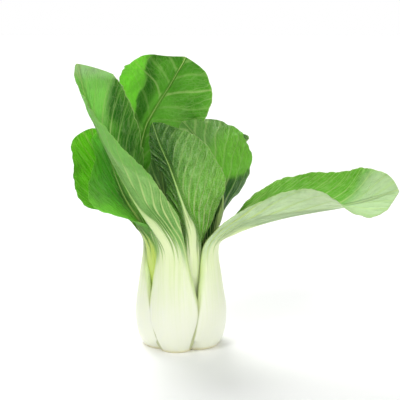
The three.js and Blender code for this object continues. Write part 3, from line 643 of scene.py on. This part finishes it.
class Nodes:
    """A material's node tree, built one node at a time."""

    def __init__(self, material):
        material.use_nodes = True
        self.tree = material.node_tree
        self.tree.nodes.clear()

    def add(self, kind, inputs, **settings):
        node = self.tree.nodes.new(kind)
        for key, value in settings.items():
            setattr(node, key, value)
        for key, value in inputs.items():
            if isinstance(value, Value):
                self.tree.links.new(value.socket, node.inputs[key])
            else:
                node.inputs[key].default_value = value
        return node

    def out(self, kind, inputs, output=0, **settings):
        """One output of a new node."""
        return Value(self, self.add(kind, inputs, **settings).outputs[output])

    def math(self, operation, first, second=0):
        return self.out("ShaderNodeMath", {0: first, 1: second}, operation=operation)

    def mix(self, factor, first, second, blend="MIX"):
        places = {0: factor, 6: with_alpha(first), 7: with_alpha(second)}
        return self.out("ShaderNodeMix", places, 2, data_type="RGBA", blend_type=blend)

    def split(self, vector):
        parts = self.add("ShaderNodeSeparateXYZ", {0: vector}).outputs
        return [Value(self, part) for part in parts]

    def marks(self, name):
        return self.split(self.out("ShaderNodeAttribute", {}, "Vector", attribute_name=name))

    def place(self, x, y, z=0):
        return self.out("ShaderNodeCombineXYZ", {0: x, 1: y, 2: z})

    def noise(self, vector, scale, detail=3, roughness=0.55):
        sizes = {"Vector": vector, "Scale": scale, "Detail": detail, "Roughness": roughness}
        return self.out("ShaderNodeTexNoise", sizes, "Fac")

    def net(self, vector, scale):
        cells = {"Vector": vector, "Scale": scale}
        return self.out("ShaderNodeTexVoronoi", cells, "Distance", feature="DISTANCE_TO_EDGE")

    def line(self, phase, pitch, width):
        """1 on each whole number of the phase, fading to 0 at `width` mm from it."""
        apart = self.math("MAXIMUM", pitch, width * 4.5)
        share = abs(phase - phase.rounded()) * apart / width
        return share.ease(0.25, 1, 1, 0)

    def areas(self, areas, spot):
        """How far a place lies inside any of these areas, each a share and the borders it is past."""
        inside = spot.run * 0
        for share, *borders in areas:
            for along, across, low, high in borders:
                lean = spot.run * along + spot.reach * across + spot.mottle * 16
                share = lean.ease(low, high) * share
            inside = inside.or_more(share)
        return inside

    def surface(self, shader):
        self.add("ShaderNodeOutputMaterial", {"Surface": shader})


def with_alpha(colour):
    """A colour with its fourth number, or the value as it is."""
    return colour if isinstance(colour, Value) else (*colour[:3], 1)


def read_spot(nodes):
    """What a leaf's skin reads at each place: the marks of its mesh, and noise that follows the leaf."""
    spot = SimpleNamespace()
    spot.reach, spot.run, spot.face = nodes.marks("leaf_place")
    spot.phase, spot.beyond, spot.pitch = nodes.marks("leaf_vein")
    spot.margin, spot.lag, spot.wing = nodes.marks("leaf_rim")
    spot.away = abs(spot.reach)
    spot.outside = spot.face.ease(-0.4, 0.4)
    spot.surface = nodes.place(spot.reach, spot.run, spot.face * 9)
    spot.streaks = nodes.noise(nodes.place(spot.reach * 0.6, spot.run * 0.02), 1, 4)
    spot.fine = nodes.noise(nodes.place(spot.reach * 2.4, spot.run * 0.05), 1)
    spot.mottle = nodes.noise(spot.surface, 0.05, 4)
    spot.specks = nodes.noise(spot.surface, 0.9, 2)
    spot.uneven = nodes.noise(nodes.place(spot.phase.rounded(), spot.face * 2), 3.7, 0)
    blisters = nodes.place(spot.phase * 2.2, spot.beyond * 0.22, spot.face * 3)
    spot.blisters = nodes.noise(blisters, 1).ease(0.28, 0.72)
    return spot


def vein_lines(nodes, spot):
    """Veins: strands of the stalk leave it one by one, fork, and narrow towards the margin."""
    phase, beyond, pitch, lag = spot.phase, spot.beyond, spot.pitch, spot.lag
    wander = nodes.noise(spot.surface, 0.1, 2)
    main = nodes.line(phase, pitch, lag.ease(-10, 42, 1.35, 0.3))
    main = main * lag.ease(10, 70, 1, 0.55) * spot.uneven.ease(0.3, 0.6, 0.5, 1)
    forked = beyond - (wander * 22 - 4)
    fork = nodes.line(phase - forked.ease(0, 24) * 0.5, pitch, FINE_VEIN_WIDTH) * forked.ease(0, 3, 0, 0.7)
    lesser = nodes.line(phase * 3 + wander * 1.6, pitch * 0.333, FINE_VEIN_WIDTH)
    lesser = lesser * beyond.ease(0.5, 8, 0, 0.36)
    cells = nodes.place(phase * 2.3, beyond * 0.2, spot.face * 3)
    coarse = nodes.net(cells, 1).ease(0.01, 0.06, 0.26, 0) * beyond.ease(2, 8)
    net = nodes.net(spot.surface, 0.5).ease(0.01, 0.1, 0.13, 0)
    apart = beyond.ease(-1.2, 0.2).or_more(spot.run.ease(10, 40, 1, 0))
    large = main.or_more(fork) * apart
    return large.or_more(lesser.or_more(coarse).or_more(net))


def stalk_flesh(nodes, spot, tone, stalk):
    """Stalk and midrib: white at the belly, greener to the neck, streaked along their length."""
    run, margin = spot.run, spot.margin
    green_stalk = tone.get("stalk", 0)
    belly = blended(stalk.belly_colour, stalk.inner_colour, green_stalk)
    neck = blended(stalk.neck_colour, stalk.inner_colour, green_stalk)
    flesh = nodes.mix((run + spot.streaks * 30).ease(-44, 26), belly, neck)
    flesh = nodes.mix(run.ease(0, 60), flesh, stalk.midrib_colour)
    stripe = spot.streaks.ease(0.45, 0.7) * run.ease(-50, 6, 0.03, 0.3)
    flesh = nodes.mix(stripe, flesh, stalk.edge_colour)
    thin_side = margin.ease(0.3, 3.5, 0.6, 0) * run.ease(-70, -20, 0.5, 1) * run.ease(-4, 4, 1, 0)
    flesh = nodes.mix(thin_side, flesh, stalk.edge_colour)
    inner_side = (1 - spot.outside) * run.ease(-70, -10, 0.15, 0.6)
    flesh = nodes.mix(inner_side, flesh, stalk.edge_colour)
    # Painted shade low down along the crease where the stalk's foot is pressed against its neighbours.
    pressed = margin - run.ease(-70, -26, tone.get("seam", 2.2), 0.9)
    seam = pressed.ease(0, 1, 0.75, 0) * run.ease(-44, -24, 1, 0)
    flesh = nodes.mix(seam, flesh, stalk.seam_shade_colour)
    height = nodes.split(nodes.out("ShaderNodeTexCoord", {}, "Object"))[2]
    foot = (height + spot.fine * 0.0015).ease(0.0012, 0.004, 0.6, 0)
    return nodes.mix(foot, flesh, stalk.foot_colour)


def blade_green(nodes, spot, tone, blade):
    """Blade: each face has its own green, with painted light on its brighter parts and painted shade on
    its deeper ones, painted shade in the hollows of its blisters and painted highlights on their crests,
    mottled, and paler beside the veins and at the margin. Also how far a place lies in painted shade,
    and how far in painted light."""
    deep, fresh, pale = (tone.get(key, 0) for key in ("deep", "fresh", "pale"))
    pucker = tone.get("pucker", 1)
    # `deep` is painted shade on leaves in the shade of others, and `fresh` partly painted light through a
    # blade.
    inner_green = blended(blade.inner_colour, blade.deep_and_shade_colour, deep)
    inner_green = blended(inner_green, blade.fresh_and_lit_colour, fresh)
    outer_green = blended(blade.outer_colour, blade.deep_and_shade_colour, 0.6 * deep)
    outer_green = blended(outer_green, blade.fresh_and_lit_colour, 0.7 * fresh)
    # `pale` is partly the under side's own waxy paleness and partly painted light on it.
    outer_green = blended(outer_green, blade.lit_pale_colour, pale)
    green = nodes.mix(spot.outside, inner_green, outer_green)
    dappled = spot.mottle.ease(0.4, 0.7, 0, 1 - 0.75 * pale)
    green = nodes.mix(dappled, green, DAPPLE, "MULTIPLY")
    # Painted shade: the parts listed in `shade` turn to the deepest green.
    shade = nodes.areas(tone.get("shade", ()), spot)
    green = nodes.mix(shade, green, blade.deep_and_shade_colour)
    # Painted light: the parts listed in `glow` turn to a bright green, paler by `glow_paleness`.
    glow = nodes.areas(tone.get("glow", ()), spot)
    glow_colour = blended(blade.fresh_and_lit_colour, blade.lit_pale_colour, tone.get("glow_paleness", 0))
    green = nodes.mix(glow, green, glow_colour)
    # Painted pale light over the tip, between the two places of `tip`.
    green = nodes.mix(spot.run.ease(*tone.get("tip", NO_TIP), 0, 0.7), green, blade.lit_pale_colour)
    beside = nodes.line(spot.phase, spot.pitch, 2.4)
    for share in (spot.specks.ease(0.45, 0.75, 0, 0.06), beside * 0.1, spot.wing.ease(0.7, 1, 0, 0.14)):
        green = nodes.mix(share, green, blade.fresh_and_lit_colour)
    # Painted shade in the hollows of the blisters and painted highlights on their crests.
    blister_light_share = BLISTER_SHARE * pucker
    green = nodes.mix(spot.blisters.ease(0, 0.5, blister_light_share, 0), green, blade.deep_and_shade_colour)
    green = nodes.mix(spot.blisters.ease(0.6, 1, 0, blister_light_share), green, blade.crest_highlight_colour)
    return green, shade, glow


def leafy_share(nodes, spot):
    """0 on the stalk, 1 on the blade. Where they meet, green wedges stand between the strands that
    are about to leave the stalk, beside its pale core."""
    rib = spot.away - spot.beyond
    core = rib * spot.run.ease(-8, 44, 0.6, 0.12) + 0.2
    past_core = (spot.away / core).ease(0.75, 1.35)
    strand = spot.phase * 0.5
    begun = spot.run + (spot.uneven * 26 + spot.streaks * 14)
    wedges = abs(strand - strand.rounded()) - begun.ease(2, 44, 0.55, 0.1)
    wedges = wedges.ease(-0.14, 0.12) * (spot.away / rib).ease(0.08, 0.25) * spot.pitch.ease(0.25, 0.8)
    return past_core.or_more(wedges) * spot.run.ease(-14, 6)


def leaf_skin(leaf, stalk, blade):
    """A leaf's whole skin: glossy pale stalk and midrib, green blade, veins and net, margin."""
    tone = leaf["tone"]
    pucker, gloss = tone.get("pucker", 1), tone.get("gloss", 0)
    material = bpy.data.materials.new(f"{leaf['name']}_skin")
    nodes = Nodes(material)
    spot = read_spot(nodes)
    lines = vein_lines(nodes, spot)
    green, shade, glow = blade_green(nodes, spot, tone, blade)
    drawn = lines * tone.get("lines", 0.6) * spot.run.ease(16, 62, 2.2, 1)
    # The veins show less in the painted shade.
    drawn = drawn * shade.ease(0, 0.8, 1, tone.get("shaded_lines", 0.7))
    veined = nodes.mix(drawn.or_more(spot.margin.ease(0.2, 0.8, 0.5, 0)), green, blade.vein_colour)
    leafy = leafy_share(nodes, spot)

    # Relief finer than the mesh, and the shine of each part.
    raised = lines * spot.face.ease(-0.4, 0.4, -0.3, 1) * spot.lag.ease(-60, -10)
    grain = spot.fine * 0.25 + spot.specks * 0.12 + spot.blisters * leafy * (4 * pucker)
    bump = nodes.out("ShaderNodeBump", {"Strength": 0.8, "Distance": 0.0004, "Height": raised + grain})
    shiny = spot.face.ease(-0.4, 0.4, 0.08, 0.25 + 0.4 * gloss)
    roughness = leafy.ease(0, 1, stalk.roughness, blade.roughness - 0.16 * gloss)
    skin = nodes.out("ShaderNodeBsdfPrincipled", {
        "Base Color": nodes.mix(leafy, stalk_flesh(nodes, spot, tone, stalk), veined),
        "Roughness": roughness + spot.specks * 0.1,
        "Specular IOR Level": leafy.ease(0, 1, 0.5, shiny),
        "Normal": bump,
        "Subsurface Weight": leafy.ease(0, 1, 0.35, 0.04),
        "Subsurface Radius": (1, 1, 0.6),
        "Subsurface Scale": 0.003,
    })

    # Light that comes through the blade, most in its parts with painted light.
    lit = nodes.mix(lines * 0.6, blade.through_colour, blade.vein_colour)
    lit = nodes.mix(spot.mottle.ease(0.4, 0.75, 0, 0.5), lit, blade.inner_colour)
    through = nodes.out("ShaderNodeBsdfTranslucent", {"Color": lit, "Normal": bump})
    share = leafy * glow.ease(0, 1, 0.12, tone.get("through", 0.12))
    nodes.surface(nodes.out("ShaderNodeMixShader", {0: share, 1: skin, 2: through}))
    return material


def stem_skin(stalk):
    """The cut stem: cream flesh, a ring of strands near its rim and a slightly dried face."""
    material = bpy.data.materials.new("cut_stem_flesh")
    nodes = Nodes(material)
    place = nodes.out("ShaderNodeTexCoord", {}, "Object")
    x, y, z = nodes.split(place)
    radius = nodes.math("SQRT", x * x + y * y)
    mottle = nodes.noise(place, 260, 4)
    strands = nodes.net(place, 520).ease(0.04, 0.2, 1, 0)
    ring = radius.ease(0.0085, 0.0098) * radius.ease(0.0115, 0.0132, 1, 0)
    flesh = nodes.mix(mottle.ease(0.35, 0.7, 0, 0.6), stalk.belly_colour, stalk.foot_colour)
    flesh = nodes.mix(strands * ring * 0.7, flesh, stalk.edge_colour)
    dried = z.ease(0, 0.002, 0.7, 0.1) * radius.ease(0.007, 0.0145, 0.3, 1)
    flesh = nodes.mix(dried, flesh, stalk.cut_colour)
    height = mottle + strands * 0.4
    nodes.surface(nodes.out("ShaderNodeBsdfPrincipled", {
        "Base Color": flesh,
        "Roughness": mottle.ease(0.3, 0.7, 0.5, 0.75),
        "Normal": nodes.out("ShaderNodeBump", {"Strength": 0.5, "Distance": 0.0004, "Height": height}),
    }))
    return material


def colour_property(name, description, colour):
    return bpy.props.FloatVectorProperty(
        name=name, description=description, default=colour, min=0, max=1, size=3, subtype="COLOR"
    )


def length_property(name, description, length, most):
    return bpy.props.FloatProperty(
        name=name, description=f"{description}, in mm", default=length, min=0, max=most
    )


def share_property(name, description, share):
    return bpy.props.FloatProperty(
        name=name, description=description, default=share, min=0, max=1, subtype="FACTOR"
    )


def strength_property(name, description, strength):
    return bpy.props.FloatProperty(name=name, description=description, default=strength, min=0, max=20)


class StalkFinish(bpy.types.PropertyGroup):
    """Colours of the stalks, midribs and cut stem."""

    belly_colour: colour_property("Belly", "Outer stalks low down", srgb(240, 243, 224))
    neck_colour: colour_property("Neck", "Outer stalks below the blade", srgb(226, 238, 186))
    inner_colour: colour_property("Inner stalks", "Stalks that grew in the shade", srgb(196, 220, 96))
    edge_colour: colour_property("Edge", "Thin edges and streaks", srgb(198, 224, 128))
    midrib_colour: colour_property("Midrib", "Far end of the midrib", srgb(168, 208, 106))
    foot_colour: colour_property("Foot", "Stalks where they were cut", srgb(226, 216, 160))
    # Painted shade along the crease where stalks meet low down.
    seam_shade_colour: colour_property("Seam", "Low down, where stalks are pressed together", srgb(168, 176, 104))
    cut_colour: colour_property("Cut face", "Dried rim of the cut stem", srgb(196, 172, 116))
    roughness: share_property("Roughness", "Of the waxy stalks", 0.3)


class BladeFinish(bpy.types.PropertyGroup):
    """Colours of the blades."""

    inner_colour: colour_property("Inner face", "Upper side of a blade", srgb(40, 118, 28))
    outer_colour: colour_property("Outer face", "Waxy under side of a blade", srgb(140, 190, 108))
    # Also the painted shade of shaded parts and of the blisters' hollows.
    deep_and_shade_colour: colour_property("Deep", "Darkest green of a blade", srgb(10, 84, 10))
    # Painted light over tips and in bright parts; on an under side partly its own waxy paleness.
    lit_pale_colour: colour_property("Pale", "Bleached under side of a leaf in full light", srgb(222, 242, 200))
    # Partly painted light, where light comes through a blade.
    fresh_and_lit_colour: colour_property("Fresh", "Brightest green of a blade", srgb(132, 216, 64))
    # Painted highlights on the crests of blisters.
    crest_highlight_colour: colour_property("Crests", "Where blisters catch the light", srgb(190, 226, 156))
    vein_colour: colour_property("Veins", "Veins and margin", srgb(204, 230, 146))
    through_colour: colour_property("Lit through", "A blade with light behind it", srgb(168, 240, 84))
    roughness: share_property("Roughness", "Of the blades", 0.38)


class LeafRelief(bpy.types.PropertyGroup):
    """Thickness and relief of the blades."""

    blade_thickness: length_property("Blade", "Thickness beside the midrib", 0.75, 3)
    margin_thickness: length_property("Margin", "Thickness at the margin", 0.4, 2)
    vein_height: length_property("Vein height", "How far veins stand out", 0.5, 2)
    panel_depth: length_property("Panel depth", "Hollow between the veins", 0.55, 3)
    ripple_height: length_property("Ripples", "Fine ripples of the margin", 0.35, 3)
    swell_height: length_property("Swell", "Soft rise and fall of the blade", 0.9, 4)


class StudioSettings(bpy.types.PropertyGroup):
    """Light, floor and camera of the studio."""

    floor_side: bpy.props.FloatProperty(
        name="Floor", description="Side of the floor", default=12, min=1, max=50, unit="LENGTH"
    )
    floor_colour: colour_property("Floor colour", "Plain pale floor", (0.92, 0.92, 0.92))
    sky_strength: strength_property("Sky", "Even light from all round", 0.24)
    key_strength: strength_property("Key light", "Soft light in front, to the left", 1.15)
    back_strength: strength_property("Back light", "Soft light behind and above", 2.6)
    fill_strength: strength_property("Fill light", "Soft light in front, to the right", 1.15)
    floor_glow: strength_property("Floor glow", "Light that comes through the floor", 0.08)
    camera_distance: bpy.props.FloatProperty(
        name="Camera distance", description="From the middle of the view", default=0.7,
        min=0.1, max=10, unit="LENGTH",
    )
    camera_height: bpy.props.FloatProperty(
        name="Camera height", description="Angle above the horizon", default=math.radians(11),
        subtype="ANGLE",
    )
    camera_lens: bpy.props.FloatProperty(
        name="Lens", description="Focal length", default=92.9, min=10, max=500, unit="CAMERA"
    )


def grow(name, leaves, nodes):
    """Makes leaves as one fine piece in place of its CAD nodes."""
    scene = bpy.context.scene
    bm = bmesh.new()
    for layer in MARKS:
        bm.verts.layers.float_vector.new(layer)
    for leaf in leaves:
        add_sheet(bm, *leaf_faces(leaf, scene.leaf_relief))
    stand_on_base(bm)
    skin = leaf_skin(leaves[0], scene.stalk_finish, scene.blade_finish)
    finished(name, bm, skin, nodes)


def grow_ring(ring):
    for leaf in LEAVES:
        name = leaf["name"]
        if leaf["ring"] == ring:
            grow(name, [leaf], (f"{name}_stalk", f"{name}_blade"))


def settle_order(bm):
    """Puts edges and faces in the same order each run, because a spin makes them in any order."""
    bm.verts.index_update()
    count = len(bm.verts)

    def corners(part):
        numbers = [vert.index for vert in part.verts]
        return min(numbers) * count + max(numbers)

    bm.edges.sort(key=corners)
    bm.faces.sort(key=corners)


class BOKCHOY_OT_cut_stem(bpy.types.Operator):
    """Turn the cut stem that carries the leaves"""

    bl_idname = "bokchoy.cut_stem"
    bl_label = "Cut stem"

    def execute(self, context):
        bm = bmesh.new()
        outline = [bm.verts.new((r * MM, 0, z * MM)) for r, z in STEM_OUTLINE]
        edges = [bm.edges.new(pair) for pair in zip(outline, outline[1:])]
        bmesh.ops.subdivide_edges(bm, edges=edges, cuts=STEM_CUTS)
        bmesh.ops.spin(
            bm, geom=bm.verts[:] + bm.edges[:], cent=(0, 0, 0), axis=(0, 0, 1),
            angle=2 * math.pi, steps=STEM_STEPS, use_merge=True, use_duplicate=False,
        )
        bmesh.ops.remove_doubles(bm, verts=bm.verts, dist=1e-6)
        settle_order(bm)
        rim = [edge for edge in bm.edges if edge.is_boundary]
        cut = bmesh.ops.holes_fill(bm, edges=rim, sides=0)["faces"]
        for _ in range(CUT_RINGS):
            bmesh.ops.inset_individual(bm, faces=cut, thickness=CUT_RING_WIDTH * MM)
        bmesh.ops.recalc_face_normals(bm, faces=bm.faces[:])
        for face in bm.faces:
            face.smooth = face.normal.z > -LEVEL
        finished("cut_stem", bm, stem_skin(context.scene.stalk_finish), ("stem_base",))
        return {"FINISHED"}


class BOKCHOY_OT_outer_leaves(bpy.types.Operator):
    """Grow the five broad outer leaves"""

    bl_idname = "bokchoy.outer_leaves"
    bl_label = "Outer leaves"

    def execute(self, context):
        grow_ring("outer")
        return {"FINISHED"}


class BOKCHOY_OT_second_leaves(bpy.types.Operator):
    """Grow the five leaves of the second ring"""

    bl_idname = "bokchoy.second_leaves"
    bl_label = "Second ring"

    def execute(self, context):
        grow_ring("second")
        return {"FINISHED"}


class BOKCHOY_OT_inner_leaves(bpy.types.Operator):
    """Grow the three leaves round the heart"""

    bl_idname = "bokchoy.inner_leaves"
    bl_label = "Inner leaves"

    def execute(self, context):
        grow_ring("inner")
        return {"FINISHED"}


class BOKCHOY_OT_heart(bpy.types.Operator):
    """Grow the three small leaves of the heart round their bud"""

    bl_idname = "bokchoy.heart"
    bl_label = "Heart"

    def execute(self, context):
        leaves = [heart_leaf(azimuth) for azimuth in HEART_AZIMUTHS]
        grow("heart_leaves", leaves, ("heart",))
        return {"FINISHED"}


def heart_leaf(azimuth):
    """One small leaf of the heart, closed in over the bud."""
    turn = math.radians(azimuth)
    out = (math.sin(turn), -math.cos(turn), 0)
    rows = zip(HEART_BLADE["radius"], HEART_BLADE["height"], HEART_BLADE["width"])
    blade = [((r * out[0], r * out[1], z), out, w, 1) for r, z, w in rows]
    return dict(
        name="heart", ring="heart", azimuth=(azimuth, azimuth), wave=(0.4, 1, 0), tone=HEART_TONE,
        blade=blade,
    )


def soft_light(name, place, spread, strength):
    """A wide soft light that shines from a place towards the head."""
    light = bpy.data.lights.new(name, "SUN")
    light.angle = math.radians(spread)
    light.energy = strength
    lamp = placed(name, light)
    lamp.location = place
    lamp.rotation_euler = (-Vector(place)).to_track_quat("-Z", "Y").to_euler()


def studio_floor(studio):
    """A plain pale floor under the cut base."""
    bm = bmesh.new()
    bmesh.ops.create_grid(bm, x_segments=1, y_segments=1, size=studio.floor_side / 2)
    bmesh.ops.translate(bm, verts=bm.verts, vec=(0, 0, -FLOOR_DROP * MM))
    material = bpy.data.materials.new("pale_floor")
    nodes = Nodes(material)
    nodes.surface(nodes.out("ShaderNodeBsdfPrincipled", {
        "Base Color": with_alpha(studio.floor_colour),
        "Roughness": 0.5,
        "Specular IOR Level": 0.2,
        "Emission Color": WHITE,
        "Emission Strength": studio.floor_glow,
    }))
    meshed("studio_floor", bm, material)


class BOKCHOY_OT_studio(bpy.types.Operator):
    """Set the pale floor, the soft lights and the camera"""

    bl_idname = "bokchoy.studio"
    bl_label = "Studio"

    def execute(self, context):
        scene = context.scene
        studio = scene.studio_settings
        studio_floor(studio)
        world = bpy.data.worlds.new("studio_sky")
        scene.world = world
        sky = Nodes(world)
        seen = sky.out("ShaderNodeLightPath", {}, "Is Camera Ray")
        light = sky.out("ShaderNodeBackground", {0: WHITE, 1: studio.sky_strength})
        white = sky.out("ShaderNodeBackground", {0: WHITE, 1: 1})
        both = sky.out("ShaderNodeMixShader", {0: seen, 1: light, 2: white})
        sky.add("ShaderNodeOutputWorld", {0: both})
        scene.view_settings.view_transform = "Standard"

        soft_light("key_light", (-0.7, -0.8, 1.1), 22, studio.key_strength)
        soft_light("fill_light", (0.8, -1.0, 0.5), 50, studio.fill_strength)
        soft_light("back_light", (-0.35, 0.9, 1.0), 40, studio.back_strength)

        camera = bpy.data.cameras.new("camera")
        camera.lens = studio.camera_lens
        camera.clip_end = 50
        eye = placed("camera", camera)
        lean = studio.camera_height
        away = Vector((0, -math.cos(lean), math.sin(lean))) * studio.camera_distance
        eye.location = Vector(VIEW_MIDDLE) + away
        eye.rotation_euler = (-away).to_track_quat("-Z", "Y").to_euler()
        scene.camera = eye
        return {"FINISHED"}


class BOKCHOY_PT_build(bpy.types.Panel):
    """Builds the head step by step"""

    bl_idname = "BOKCHOY_PT_build"
    bl_label = "Bok choy"
    bl_space_type = "VIEW_3D"
    bl_region_type = "UI"
    bl_category = "Bok choy"

    def draw(self, context):
        for operator in OPERATORS:
            self.layout.operator(operator.bl_idname)
        for group in SETTINGS:
            box = self.layout.box()
            settings = getattr(context.scene, group)
            for name in settings.__annotations__:
                box.prop(settings, name)


OPERATORS = (
    BOKCHOY_OT_cut_stem,
    BOKCHOY_OT_outer_leaves,
    BOKCHOY_OT_second_leaves,
    BOKCHOY_OT_inner_leaves,
    BOKCHOY_OT_heart,
    BOKCHOY_OT_studio,
)
SETTINGS = {
    "stalk_finish": StalkFinish,
    "blade_finish": BladeFinish,
    "leaf_relief": LeafRelief,
    "studio_settings": StudioSettings,
}


def register():
    for group, kind in SETTINGS.items():
        bpy.utils.register_class(kind)
        setattr(bpy.types.Scene, group, bpy.props.PointerProperty(type=kind))
    for kind in (*OPERATORS, BOKCHOY_PT_build):
        bpy.utils.register_class(kind)


def unregister():
    for kind in (BOKCHOY_PT_build, *reversed(OPERATORS)):
        bpy.utils.unregister_class(kind)
    for group, kind in SETTINGS.items():
        delattr(bpy.types.Scene, group)
        bpy.utils.unregister_class(kind)


def main():
    register()
    bpy.ops.bokchoy.cut_stem()
    bpy.ops.bokchoy.outer_leaves()
    bpy.ops.bokchoy.second_leaves()
    bpy.ops.bokchoy.inner_leaves()
    bpy.ops.bokchoy.heart()
    bpy.ops.bokchoy.studio()
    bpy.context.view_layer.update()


if __name__ == "__main__":
    main()
